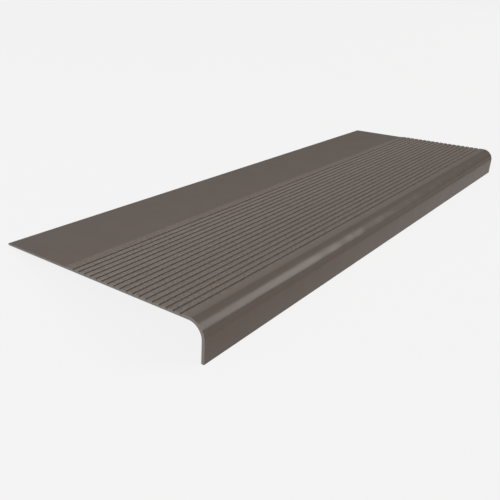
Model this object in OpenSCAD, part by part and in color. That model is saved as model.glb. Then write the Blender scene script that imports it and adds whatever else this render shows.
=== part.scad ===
// Rubber stair tread: one moulded sheet with a ribbed field, a sloped step down
// to a thin back strip, and a rounded nose that hooks over the edge of the step.
//
// The section is drawn as the tread lies on a step: x runs from the front of the
// nose to the back edge, y is up, and the underside is y = 0. The finished tread
// is then tipped back to rest on its toe and its back edge, as on a level floor.

/* [Tread] */
// Length along the step
tread_length = 914.4; // [600:0.1:1220]
// Depth from the front of the nose to the back edge
tread_depth = 311.15; // [250:0.05:400]
// Thickness at the rib tops, in the nose and in its leg
full_t = 3.7; // [3:0.1:8]

/* [Back strip] */
// Width of the smooth strip along the back edge
back_strip_w = 107; // [40:1:160]
// Width of the slope from the back strip up to the rib tops
slope_w = 14.1; // [4:0.1:30]
// Rounding of the back edge's upper corner
back_edge_r = 0.4; // [0.1:0.1:0.6]

/* [Ribs] */
// Width of a rib between two grooves
rib_w = 6.55; // [3:0.05:20]
// Width of a groove at its floor
groove_w = 2.8; // [1.5:0.1:8]
// Depth of a groove, and of the step down to the back strip
groove_depth = 1.3; // [0.7:0.1:2]
// Rounding of the rib edges
rib_edge_r = 0.4; // [0.1:0.1:0.6]

/* [Nose] */
// Height of the nose from the rib tops down to the toe
nose_h = 46.8; // [36:0.1:70]
// Outer radius of the nose curve
nose_r = 20; // [12:0.5:28]
// How far the leaning leg brings the toe in behind the front of the nose
toe_in = 0.9; // [0:0.1:3]
// Bevel of the two toe edges
toe_bevel = 0.6; // [0.1:0.1:1.2]

/* [Hidden] */
$fn = 48;
rubber_color = [0.40, 0.37, 0.34];
slack = 1;

// The back strip is level with the groove floors
back_strip_t = full_t - groove_depth;

// The slope ends against the first groove. Grooves fill the field in front of it,
// and at least half a rib's width stays smooth before the nose curve
slope_top = tread_depth - back_strip_w - slope_w;
groove_pitch = rib_w + groove_w;
groove_count = floor((slope_top - nose_r + rib_w / 2) / groove_pitch);

// The nose curve turns about nose_center, and the leg hangs from its front end
nose_center = [nose_r, full_t - nose_r];
leg_h = nose_h - nose_r;
bevel_in = toe_in * (1 - toe_bevel / leg_h);

// The floor touches the inner corner of the toe and the back edge
toe_heel = nose_center + [full_t - nose_r + toe_in - toe_bevel, -leg_h];
rest_angle = atan2(-toe_heel[1], tread_depth - toe_heel[0]);
floor_level = swung(toe_heel, -rest_angle)[1];

// Front and back of the tipped section, which centre it over the origin
toe_front = nose_center + [bevel_in - nose_r, toe_bevel - leg_h];
front_reach = min(swung(nose_center, -rest_angle)[0] - nose_r, swung(toe_front, -rest_angle)[0]);
back_corner = [tread_depth - back_edge_r, back_strip_t - back_edge_r];
back_reach = swung(back_corner, -rest_angle)[0] + back_edge_r;

function swung(p, a) = [p[0] * cos(a) - p[1] * sin(a), p[0] * sin(a) + p[1] * cos(a)];

// What a rounding takes off a corner whose point is at the origin and whose
// material lies towards +x and +y
module corner_cut(r) {
  difference() {
    translate([-slack, -slack]) square(r + slack);
    translate([r, r]) circle(r);
  }
}

// One groove, open upward, with both rib edges beside it rounded
module groove() {
  translate([-groove_w / 2, 0]) square([groove_w, groove_depth + slack]);
  for (side = [0, 1]) mirror([side, 0])
    translate([groove_w / 2, groove_depth]) mirror([0, 1]) corner_cut(rib_edge_r);
}

// Flat field under the ribs, the slope behind it and the thin back strip
module plate_section() {
  difference() {
    polygon([
      [nose_r, 0], [tread_depth, 0], [tread_depth, back_strip_t],
      [slope_top + slope_w, back_strip_t], [slope_top, full_t], [nose_r, full_t],
    ]);
    translate([tread_depth, back_strip_t]) rotate(180) corner_cut(back_edge_r);
    for (i = [0 : groove_count - 1])
      translate([slope_top - groove_w / 2 - i * groove_pitch, back_strip_t]) groove();
  }
}

// Quarter round of the nose, drawn about the curve's centre
module curve_section() {
  difference() {
    circle(nose_r, $fn = 96);
    circle(nose_r - full_t, $fn = 96);
    translate([0, -2 * nose_r]) square(4 * nose_r);
    translate([-2 * nose_r, -4 * nose_r]) square(4 * nose_r);
  }
}

// Leg below the curve, leaning in towards its bevelled toe
module leg_section() {
  inner = full_t - nose_r;
  polygon([
    [-nose_r, 0], [bevel_in - nose_r, toe_bevel - leg_h],
    [toe_in + toe_bevel - nose_r, -leg_h], [inner + toe_in - toe_bevel, -leg_h],
    [inner + bevel_in, toe_bevel - leg_h], [inner, 0],
  ]);
}

module tread_section() {
  plate_section();
  translate(nose_center) {
    curve_section();
    leg_section();
  }
}

// The whole tread, extruded along the step and tipped to rest on a level floor
module tread() {
  color(rubber_color)
    translate([-tread_length / 2, -(front_reach + back_reach) / 2, -floor_level])
      rotate([-rest_angle, 0, 0]) rotate([90, 0, 90])
        linear_extrude(height = tread_length) tread_section();
}

tread();
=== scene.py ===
# Rubber stair tread on a plain pale studio floor.
# The moulded section is drawn as it lies on a step, swept along the step,
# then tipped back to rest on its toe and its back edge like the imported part.

from math import atan2, radians

import bmesh
import bpy
from mathutils import Matrix, Vector


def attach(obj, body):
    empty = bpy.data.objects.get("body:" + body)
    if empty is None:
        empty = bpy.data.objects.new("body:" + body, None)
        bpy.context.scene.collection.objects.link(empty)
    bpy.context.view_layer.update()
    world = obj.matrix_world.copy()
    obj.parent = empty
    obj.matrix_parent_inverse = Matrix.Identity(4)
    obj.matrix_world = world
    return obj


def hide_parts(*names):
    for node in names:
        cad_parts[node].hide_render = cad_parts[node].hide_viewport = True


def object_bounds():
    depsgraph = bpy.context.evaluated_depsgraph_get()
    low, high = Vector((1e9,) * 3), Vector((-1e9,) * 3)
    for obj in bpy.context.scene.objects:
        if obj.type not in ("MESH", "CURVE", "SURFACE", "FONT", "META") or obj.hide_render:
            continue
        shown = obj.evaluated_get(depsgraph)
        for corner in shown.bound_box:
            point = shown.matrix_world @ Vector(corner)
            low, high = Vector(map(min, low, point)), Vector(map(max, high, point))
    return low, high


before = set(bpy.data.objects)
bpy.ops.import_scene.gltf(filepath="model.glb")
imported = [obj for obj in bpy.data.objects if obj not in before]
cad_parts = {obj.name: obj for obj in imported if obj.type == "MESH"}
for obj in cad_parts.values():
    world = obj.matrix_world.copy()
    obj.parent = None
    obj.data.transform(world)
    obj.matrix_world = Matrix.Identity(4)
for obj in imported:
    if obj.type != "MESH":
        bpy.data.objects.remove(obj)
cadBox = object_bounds()
print("frame loaded with", list(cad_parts), "in", [[round(v, 4) for v in corner] for corner in cadBox])

scene = bpy.context.scene
leftEnd = cadBox[0][0]
treadLength = cadBox[1][0] - leftEnd
hair = 0.00001  # metres, and points nearer than this count as one


# camera, at the photograph's viewing angle

cameraView = {
    "place": (-0.8260, -0.4271, 0.3666),  # in front of the left end, above the floor
    "turn": (62.419, -7.740, -53.080),  # degrees about X, Y and Z
    "lens": 43.125,
    "sensorWidth": 36,
    "nearest": 0.01,  # what is closer than this isn't seen
}


def setCamera(c):
    data = bpy.data.cameras.new("treadCamera")
    data.lens = c["lens"]
    data.sensor_width = c["sensorWidth"]
    data.clip_start = c["nearest"]
    camera = bpy.data.objects.new("treadCamera", data)
    camera.location = c["place"]
    camera.rotation_euler = [radians(a) for a in c["turn"]]
    scene.collection.objects.link(camera)
    scene.camera = camera
    scene.view_settings.view_transform = "Standard"


setCamera(cameraView)
print("camera set")


# the tread's section, in metres: y runs from the front of the nose to the back edge,
# z is up and the plain underside is z = 0

treadSizes = {
    "depth": 0.31115,
    "fullThickness": 0.0037,  # rib tops, nose and leg
    "stripThickness": 0.0024,  # back strip and groove floors
    "stripWidth": 0.107,
    "slopeWidth": 0.0141,
    "ribWidth": 0.00655,
    "grooveWidth": 0.0028,
    "grooveCount": 18,
    "ribEdge": 0.0004,  # how far the rib edges and the back edge are softened
    "edgeSteps": 3,
    "noseHeight": 0.0468,  # from the rib tops down to the toe
    "noseRadius": 0.020,
    "noseSteps": 28,
    "toeIn": 0.0009,  # how far the leg leans back on its way down
    "toeBevel": 0.0006,
    "toeSteps": 2,
    "toeCorner": 45,  # degrees, and only an edge sharper than this is bevelled at the toe
    "smoothUpTo": 30,  # degrees between two faces that are shaded as one
}
# and what follows from them
treadSizes["slopeFoot"] = treadSizes["depth"] - treadSizes["stripWidth"]
treadSizes["slopeTop"] = treadSizes["slopeFoot"] - treadSizes["slopeWidth"]
treadSizes["toeLevel"] = treadSizes["fullThickness"] - treadSizes["noseHeight"]


def pick(mesh, kind, test):
    # selects only the verts, edges or faces that pass the test
    bpy.ops.mesh.select_mode(type={"verts": "VERT", "edges": "EDGE", "faces": "FACE"}[kind])
    bpy.ops.mesh.select_all(action="DESELECT")
    bm = bmesh.from_edit_mesh(mesh)
    for part in [p for p in getattr(bm, kind) if test(p)]:
        part.select = True
    bm.select_flush_mode()
    bmesh.update_edit_mesh(mesh)


def drawOut(along, across, up):
    # extrudes what is picked
    bpy.ops.mesh.extrude_region_move(TRANSFORM_OT_translate={"value": (along, across, up)})


def near(a, b):
    return abs(a - b) < hair


def upright(y):
    # a test for the section's edges that run up through its thickness at y
    return lambda edge: all(near(v.co.y, y) for v in edge.verts)


def longEdge(edge, y=None, z=None):
    # whether an edge runs the whole length, at a given place in the section
    a, b = [v.co for v in edge.verts]
    atPlace = (y is None or near(a.y, y)) and (z is None or near(a.z, z))
    return atPlace and abs(a.x - b.x) > treadLength / 2


def flatField(name, s):
    # a plane stood up at the left end, from the nose to the slope
    fieldDepth = s["slopeTop"] - s["noseRadius"]
    bpy.ops.object.select_all(action="DESELECT")
    bpy.ops.mesh.primitive_plane_add(size=1, rotation=(0, radians(90), 0))
    tread = bpy.context.object
    tread.name = name
    tread.scale = (s["fullThickness"], fieldDepth, 1)
    tread.location = (leftEnd, s["noseRadius"] + fieldDepth / 2, s["fullThickness"] / 2)
    bpy.ops.object.transform_apply(location=True, rotation=True, scale=True)
    return tread


def slopeAndStrip(mesh, s):
    # the field's back edge drawn out twice
    pick(mesh, "edges", upright(s["slopeTop"]))
    drawOut(0, s["slopeWidth"], 0)
    pick(mesh, "verts", lambda v: near(v.co.y, s["slopeFoot"]) and near(v.co.z, s["fullThickness"]))
    bpy.ops.transform.translate(value=(0, 0, s["stripThickness"] - s["fullThickness"]))
    pick(mesh, "edges", upright(s["slopeFoot"]))
    drawOut(0, s["stripWidth"], 0)


def cutGrooves(mesh, s):
    # the field cut at both sides of each groove and at the groove floor
    pitch = s["ribWidth"] + s["grooveWidth"]
    backSides = [s["slopeTop"] - i * pitch for i in range(s["grooveCount"])]
    grooves = [(back - s["grooveWidth"], back) for back in backSides]
    sides = sorted(side for groove in grooves for side in groove)

    def inField(face):
        return s["noseRadius"] < face.calc_center_median().y < s["slopeTop"]

    def inGroove(face):
        middle = face.calc_center_median()
        return middle.z > s["stripThickness"] and any(a < middle.y < b for a, b in grooves)

    for side in sides[:-1]:  # the last side is the slope's top, where the field ends
        pick(mesh, "faces", inField)
        bpy.ops.mesh.bisect(plane_co=(leftEnd, side, 0), plane_no=(0, 1, 0))
    pick(mesh, "faces", inField)
    bpy.ops.mesh.bisect(plane_co=(leftEnd, 0, s["stripThickness"]), plane_no=(0, 0, 1))
    pick(mesh, "faces", inGroove)
    bpy.ops.mesh.delete(type="FACE")
    return sides


def noseAndLeg(mesh, s):
    # the front edges turned down about the curve's centre, then the leg drawn down
    centre = (s["noseRadius"], s["fullThickness"] - s["noseRadius"])
    pick(mesh, "edges", upright(s["noseRadius"]))
    bpy.ops.mesh.spin(
        steps=s["noseSteps"], angle=radians(90),
        center=(leftEnd, *centre), axis=(-1, 0, 0))
    pick(mesh, "edges", lambda e: all(
        near(v.co.z, centre[1]) and v.co.y < centre[0] for v in e.verts))
    drawOut(0, s["toeIn"], s["noseRadius"] - s["noseHeight"])


def softenEdges(mesh, s, grooveSides):
    # rib edges, toe and back edge
    pick(mesh, "edges", lambda e: any(longEdge(e, y, s["fullThickness"]) for y in grooveSides))
    bpy.ops.mesh.bevel(offset=s["ribEdge"], segments=s["edgeSteps"], affect="EDGES")
    pick(mesh, "edges", lambda e: longEdge(e, z=s["toeLevel"]) and len(e.link_faces) == 2
         and e.calc_face_angle() > radians(s["toeCorner"]))
    bpy.ops.mesh.bevel(offset=s["toeBevel"], segments=s["toeSteps"], affect="EDGES")
    pick(mesh, "edges", lambda e: longEdge(e, s["depth"], s["stripThickness"]))
    bpy.ops.mesh.bevel(offset=s["ribEdge"], segments=s["edgeSteps"], affect="EDGES")


def moulding(name, s):
    tread = flatField(name, s)
    mesh = tread.data
    bpy.ops.object.mode_set(mode="EDIT")
    slopeAndStrip(mesh, s)
    grooveSides = cutGrooves(mesh, s)
    noseAndLeg(mesh, s)

    # the section swept along the step
    bpy.ops.mesh.select_all(action="SELECT")
    bpy.ops.mesh.remove_doubles(threshold=hair)
    drawOut(treadLength, 0, 0)
    softenEdges(mesh, s, grooveSides)

    bpy.ops.mesh.select_all(action="SELECT")
    bpy.ops.mesh.normals_make_consistent(inside=False)
    bpy.ops.object.mode_set(mode="OBJECT")
    bpy.ops.object.shade_smooth_by_angle(angle=radians(s["smoothUpTo"]))
    return tread


def restTurn(s):
    # how far the loose tread tips back on a floor, onto its toe and its back edge
    heel = s["fullThickness"] + s["toeIn"] - s["toeBevel"]
    return atan2(-s["toeLevel"], s["depth"] - heel)


def tipBack(tread, angle):
    # turned about the origin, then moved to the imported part's back edge and floor
    bpy.ops.object.mode_set(mode="EDIT")
    bpy.ops.mesh.select_all(action="SELECT")
    bpy.ops.transform.rotate(
        value=angle, orient_axis="X", orient_type="GLOBAL", center_override=(0, 0, 0))
    bpy.ops.object.mode_set(mode="OBJECT")
    back = max(v.co.y for v in tread.data.vertices)
    floor = min(v.co.z for v in tread.data.vertices)
    shift = (cadBox[1][1] - back, cadBox[0][2] - floor)
    bpy.ops.object.mode_set(mode="EDIT")
    bpy.ops.transform.translate(value=(0, *shift))
    bpy.ops.object.mode_set(mode="OBJECT")
    return shift


stairTread = moulding("stairTread", treadSizes)
print("tread modelled,", len(stairTread.data.polygons), "faces")
restAngle = restTurn(treadSizes)
restShift = tipBack(stairTread, restAngle)
print("tread laid down, tipped by", round(restAngle, 4), "and moved by", [round(v, 4) for v in restShift])


# rubber finishes

rubber = {
    # nose and leg: the rubber's own colour made darker as painted shade on these front faces
    "noseColourAndShade": (0.092, 0.0755, 0.065),
    "legColourAndShade": (0.0985, 0.0774, 0.0645),
    "frontRibColour": (0.153, 0.1305, 0.1145),
    "backRibColour": (0.177, 0.152, 0.1345),
    # groove floors: the strip's rubber made darker as painted shade in the grooves, more so towards the
    # back
    "frontGrooveColourAndShade": (0.107, 0.088, 0.076),
    "backGrooveColourAndShade": (0.092, 0.075, 0.065),
    "slopeColour": (0.159, 0.134, 0.119),
    "stripColour": (0.132, 0.1096, 0.096),
    "cutColour": (0.145, 0.133, 0.124),
    "noseRoughness": 0.22,
    "turnRoughness": 0.75,  # where the nose turns down into the leg
    "legRoughness": 0.43,
    "ribRoughness": 0.8,
    "stripRoughness": 0.7,
    "cutRoughness": 0.8,
    "specular": 0.107,
    # borders, from one face to the next, in metres on the section
    "noseToRibs": (0.004, 0.026),  # behind the front
    "smoothToGritty": (0.022, 0.028),  # behind the front
    "ribsToSlope": (0.0001, 0.0003),  # behind the slope's top
    "grooveEnd": (0.0002, 0.0001),  # behind the slope's top
    "slopeToStrip": (-0.0005, 0.0005),  # behind the slope's foot
    "topToGroove": (-0.0001, -0.0006),  # up from the rib tops
    "noseToTurn": (-0.0075, -0.0105),  # up from the underside
    "noseToLegColour": (-0.0100, -0.0130),  # up from the underside
    "turnToLeg": (-0.0125, -0.0165),  # up from the underside
    "cloudSize": 0.035,
    "cloudContrast": 0.06,
    "gritSize": 0.003,
    "gritContrast": 0.5,
    "spotDetail": 3,
    "grainSize": 0.0007,
    "grainDetail": 2,
    "grainStrength": 0.25,
    "grainDepth": 0.0001,
    "waveSize": 0.05,
    "waveDetail": 1,
    "waveDepth": 0.0012,
    "cutContrast": 0.15,
    "endFacing": 0.99,  # how squarely a sawn end faces along the step
}


def emptyTree(owner):
    # the node tree of a material or a world, cleared
    owner.use_nodes = True
    owner.node_tree.nodes.clear()
    return owner.node_tree


def node(tree, kind, place, **values):
    new = tree.nodes.new(kind)
    new.location = place
    for key, value in values.items():
        setattr(new, key, value)
    return new


def feed(tree, socket, value):
    # gives a socket an earlier node's output, a colour or a number
    if isinstance(value, bpy.types.NodeSocket):
        tree.links.new(value, socket)
    elif socket.type == "RGBA":
        socket.default_value = (*value, 1)
    else:
        socket.default_value = value


def ramp(tree, source, limits, place, low=0, high=1):
    # rises smoothly from low to high as the source goes from one limit to the other
    rise = node(tree, "ShaderNodeMapRange", place, interpolation_type="SMOOTHSTEP")
    feed(tree, rise.inputs["Value"], source)
    feed(tree, rise.inputs["From Min"], limits[0])
    feed(tree, rise.inputs["From Max"], limits[1])
    feed(tree, rise.inputs["To Min"], low)
    feed(tree, rise.inputs["To Max"], high)
    return rise.outputs["Result"]


def mixed(tree, mask, first, second, place):
    # colours, or numbers where one of the two is a plain number
    number = isinstance(first, float) or isinstance(second, float)
    mix = node(tree, "ShaderNodeMix", place, data_type="FLOAT" if number else "RGBA")
    feed(tree, mix.inputs["Factor"], mask)
    feed(tree, mix.inputs["A"], first)
    feed(tree, mix.inputs["B"], second)
    return mix.outputs["Result"]


def combined(tree, operation, first, second, place):
    # two numbers multiplied, or the larger of the two
    result = node(tree, "ShaderNodeMath", place, operation=operation)
    feed(tree, result.inputs[0], first)
    feed(tree, result.inputs[1], second)
    return result.outputs["Value"]


def speckle(tree, coords, size, detail, place):
    # uneven spots of about a given size in metres
    noise = node(tree, "ShaderNodeTexNoise", place)
    feed(tree, noise.inputs["Vector"], coords)
    feed(tree, noise.inputs["Scale"], 1 / size)
    feed(tree, noise.inputs["Detail"], detail)
    return noise.outputs["Fac"]


def toneOf(tree, spots, contrast, place):
    # spots as a tone around 1
    tone = node(tree, "ShaderNodeMapRange", place)
    feed(tree, tone.inputs["Value"], spots)
    feed(tree, tone.inputs["To Min"], 1 - contrast)
    feed(tree, tone.inputs["To Max"], 1 + contrast)
    return tone.outputs["Result"]


def toned(tree, colour, tone, place):
    shaded = node(tree, "ShaderNodeVectorMath", place, operation="SCALE")
    feed(tree, shaded.inputs["Vector"], colour)
    feed(tree, shaded.inputs["Scale"], tone)
    return shaded.outputs["Vector"]


def relief(tree, height, strength, depth, place):
    bump = node(tree, "ShaderNodeBump", place)
    feed(tree, bump.inputs["Height"], height)
    feed(tree, bump.inputs["Strength"], strength)
    feed(tree, bump.inputs["Distance"], depth)
    return bump


def rubberShader(tree, r):
    output = node(tree, "ShaderNodeOutputMaterial", (900, 0))
    shader = node(tree, "ShaderNodeBsdfPrincipled", (600, 0))
    shader.inputs["Specular IOR Level"].default_value = r["specular"]
    feed(tree, output.inputs["Surface"], shader.outputs["BSDF"])
    return shader


def onStep(tree, angle, shift):
    # object coordinates moved and turned back to the tread on its step
    place = node(tree, "ShaderNodeTexCoord", (-1200, 0))
    level = node(tree, "ShaderNodeMapping", (-1000, 0), vector_type="POINT")
    level.inputs["Rotation"].default_value = (angle, 0, 0)
    level.inputs["Location"].default_value = Matrix.Rotation(angle, 3, "X") @ -Vector((0, *shift))
    feed(tree, level.inputs["Vector"], place.outputs["Object"])
    return level.outputs["Vector"]


def faceMasks(tree, coords, r, s):
    # each mask rises from 0 to 1 across one border of the section
    split = node(tree, "ShaderNodeSeparateXYZ", (-800, 0))
    feed(tree, split.inputs["Vector"], coords)
    y, z = split.outputs["Y"], split.outputs["Z"]
    borders = {
        "behindNose": (y, 0, r["noseToRibs"]),
        "gritty": (y, 0, r["smoothToGritty"]),
        "towardsBack": (y, 0, (s["noseRadius"], s["slopeTop"])),
        "onSlope": (y, s["slopeTop"], r["ribsToSlope"]),
        "offSlope": (y, s["slopeTop"], r["grooveEnd"]),
        "onStrip": (y, s["slopeFoot"], r["slopeToStrip"]),
        "belowTop": (z, s["fullThickness"], r["topToGroove"]),
        "onTurn": (z, 0, r["noseToTurn"]),
        "legColoured": (z, 0, r["noseToLegColour"]),
        "onLeg": (z, 0, r["turnToLeg"]),
    }
    masks = {}
    for row, (name, (source, edge, limits)) in enumerate(borders.items()):
        masks[name] = ramp(tree, source, [edge + limit for limit in limits], (-600, 300 - 200 * row))
    return masks


def faceColour(tree, m, r):
    inGroove = combined(tree, "MULTIPLY", m["offSlope"], m["belowTop"], (-400, -300))
    ribTop = mixed(tree, m["towardsBack"], r["frontRibColour"], r["backRibColour"], (-400, 300))
    # the groove floors' colour carries painted shade, deeper towards the back
    floor = mixed(tree, m["towardsBack"], r["frontGrooveColourAndShade"], r["backGrooveColourAndShade"], (-400, 500))
    ribbed = mixed(tree, inGroove, ribTop, floor, (-240, 300))
    # the nose and leg colours carry painted shade
    nose = mixed(tree, m["legColoured"], r["noseColourAndShade"], r["legColourAndShade"], (-240, 100))
    front = mixed(tree, m["behindNose"], nose, ribbed, (-80, 200))
    sloped = mixed(tree, m["onSlope"], front, r["slopeColour"], (80, 200))
    return mixed(tree, m["onStrip"], sloped, r["stripColour"], (240, 200))


def faceRoughness(tree, m, r):
    turn = mixed(tree, m["onTurn"], r["noseRoughness"], r["turnRoughness"], (-400, -100))
    satin = mixed(tree, m["onLeg"], turn, r["legRoughness"], (-240, -100))
    dull = mixed(tree, m["behindNose"], satin, r["ribRoughness"], (-80, -100))
    return mixed(tree, m["onStrip"], dull, r["stripRoughness"], (80, -100))


def faceTone(tree, coords, m, r):
    # soft clouds all over, and grit on the ribbed field but not on the nose, leg or back strip
    even = 1.0  # the tone that changes nothing
    cloudSpots = speckle(tree, coords, r["cloudSize"], r["spotDetail"], (-600, 500))
    gritSpots = speckle(tree, coords, r["gritSize"], r["spotDetail"], (-600, 800))
    clouds = toneOf(tree, cloudSpots, r["cloudContrast"], (-350, 500))
    grit = toneOf(tree, gritSpots, r["gritContrast"], (-350, 800))
    offNose = mixed(tree, m["gritty"], even, grit, (-150, 700))
    onField = mixed(tree, m["onStrip"], offNose, even, (0, 700))
    return combined(tree, "MULTIPLY", clouds, onField, (150, 500))


def faceNormal(tree, coords, m, r):
    # fine grain all over; the nose isn't quite even, so its highlight wanders a little
    still = 0.5  # the height that leaves a surface even
    grain = speckle(tree, coords, r["grainSize"], r["grainDetail"], (-350, -350))
    waves = speckle(tree, coords, r["waveSize"], r["waveDetail"], (-350, -650))
    noseWaves = mixed(tree, m["behindNose"], waves, still, (-100, -650))
    wavy = relief(tree, noseWaves, 1, r["waveDepth"], (50, -500))
    grainy = relief(tree, grain, r["grainStrength"], r["grainDepth"], (250, -300))
    feed(tree, grainy.inputs["Normal"], wavy.outputs["Normal"])
    return grainy.outputs["Normal"]


def mouldedRubber(name, r, s, angle, shift):
    material = bpy.data.materials.new(name)
    tree = emptyTree(material)
    shader = rubberShader(tree, r)
    coords = onStep(tree, angle, shift)
    masks = faceMasks(tree, coords, r, s)
    colour = toned(tree, faceColour(tree, masks, r), faceTone(tree, coords, masks, r), (420, 250))
    feed(tree, shader.inputs["Base Color"], colour)
    feed(tree, shader.inputs["Roughness"], faceRoughness(tree, masks, r))
    feed(tree, shader.inputs["Normal"], faceNormal(tree, coords, masks, r))
    return material


def cutRubber(name, r):
    # the two sawn ends are paler and fully dull
    material = bpy.data.materials.new(name)
    tree = emptyTree(material)
    shader = rubberShader(tree, r)
    place = node(tree, "ShaderNodeTexCoord", (-600, 0))
    scratches = speckle(tree, place.outputs["Object"], r["grainSize"], r["grainDetail"], (-400, 0))
    tone = toneOf(tree, scratches, r["cutContrast"], (-200, 0))
    feed(tree, shader.inputs["Base Color"], toned(tree, r["cutColour"], tone, (0, 0)))
    shader.inputs["Roughness"].default_value = r["cutRoughness"]
    return material


stairTread.data.materials.append(mouldedRubber("mouldedRubber", rubber, treadSizes, restAngle, restShift))
stairTread.data.materials.append(cutRubber("sawnEnds", rubber))
for face in stairTread.data.polygons:
    if abs(face.normal.x) > rubber["endFacing"]:
        face.material_index = 1
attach(stairTread, "root")
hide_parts("tread")
print("rubber laid on")


# studio: floor, world and lamps

studio = {
    "paper": 0.896,  # the pale background as the camera sees it
    "floorSize": 30,
    "paperShare": 0.94,  # share of the floor's look that takes no shadow
    "dim": 0.06,
    "bright": 0.64,
    "brightSide": (-0.4, 0, 0.92),  # up and to the left
    "dimToBright": (-0.4, 0.9),  # how far a direction leans to the bright side
}

lamps = {
    "frontSoftbox": {
        "place": (6.42, -4.40, 5.24),
        "target": (-0.3, -0.15, 0.04),
        "size": (4.0, 5.2),
        "roll": -40.9,
        "power": 570,
        "colour": (1, 0.95, 0.91),
    },
    "leftSoftbox": {
        "place": (-4.7, -0.5, 2.3),
        "target": (0, 0, 0.02),
        "size": (2.7, 1.8),
        "roll": 0,
        "power": 190,
        "colour": (1, 1, 1),
    },
}


def palePaper(name, s):
    # plain and pale to the camera and in reflections, apart from a share that takes the shadow
    material = bpy.data.materials.new(name)
    tree = emptyTree(material)
    pale = (s["paper"], s["paper"], s["paper"])
    output = node(tree, "ShaderNodeOutputMaterial", (600, 0))
    lit = node(tree, "ShaderNodeBsdfDiffuse", (0, 100))
    feed(tree, lit.inputs["Color"], pale)
    plain = node(tree, "ShaderNodeEmission", (0, -100))
    feed(tree, plain.inputs["Color"], pale)
    path = node(tree, "ShaderNodeLightPath", (-600, 300))
    seen = path.outputs["Is Camera Ray"]
    for i, ray in enumerate(("Is Glossy Ray", "Is Transmission Ray")):
        seen = combined(tree, "MAXIMUM", seen, path.outputs[ray], (-400 + 200 * i, 300))
    share = combined(tree, "MULTIPLY", seen, s["paperShare"], (0, 300))
    mix = node(tree, "ShaderNodeMixShader", (300, 0))
    feed(tree, mix.inputs["Fac"], share)
    feed(tree, mix.inputs[1], lit.outputs["BSDF"])
    feed(tree, mix.inputs[2], plain.outputs["Emission"])
    feed(tree, output.inputs["Surface"], mix.outputs["Shader"])
    return material


def paperFloor(s):
    bpy.ops.object.select_all(action="DESELECT")
    bpy.ops.mesh.primitive_plane_add(size=s["floorSize"], location=(0, 0, 0))
    floor = bpy.context.object
    floor.name = "paperFloor"
    floor.data.materials.append(palePaper("palePaper", s))


def studioWorld(s):
    # a plain room, dim on the right and brighter towards the ceiling and the left
    world = bpy.data.worlds.new("studioWorld")
    scene.world = world
    tree = emptyTree(world)
    output = node(tree, "ShaderNodeOutputWorld", (600, 0))
    back = node(tree, "ShaderNodeBackground", (400, 0))
    direction = node(tree, "ShaderNodeTexCoord", (-400, 0))
    towards = node(tree, "ShaderNodeVectorMath", (-200, 0), operation="DOT_PRODUCT")
    feed(tree, towards.inputs[0], direction.outputs["Generated"])
    feed(tree, towards.inputs[1], s["brightSide"])
    lean = towards.outputs["Value"]
    feed(tree, back.inputs["Strength"], ramp(tree, lean, s["dimToBright"], (100, 0), s["dim"], s["bright"]))
    feed(tree, output.inputs["Surface"], back.outputs["Background"])


def softbox(name, s):
    data = bpy.data.lights.new(name, "AREA")
    data.shape = "RECTANGLE"
    data.size, data.size_y = s["size"]
    data.energy = s["power"]
    data.color = s["colour"]
    lamp = bpy.data.objects.new(name, data)
    lamp.location = s["place"]
    aim = Vector(s["target"]) - lamp.location
    lamp.rotation_euler = aim.to_track_quat("-Z", "Y").to_euler()
    lamp.rotation_euler.rotate_axis("Z", radians(s["roll"]))
    scene.collection.objects.link(lamp)


paperFloor(studio)
studioWorld(studio)
for name, settings in lamps.items():
    softbox(name, settings)
print("studio lit")
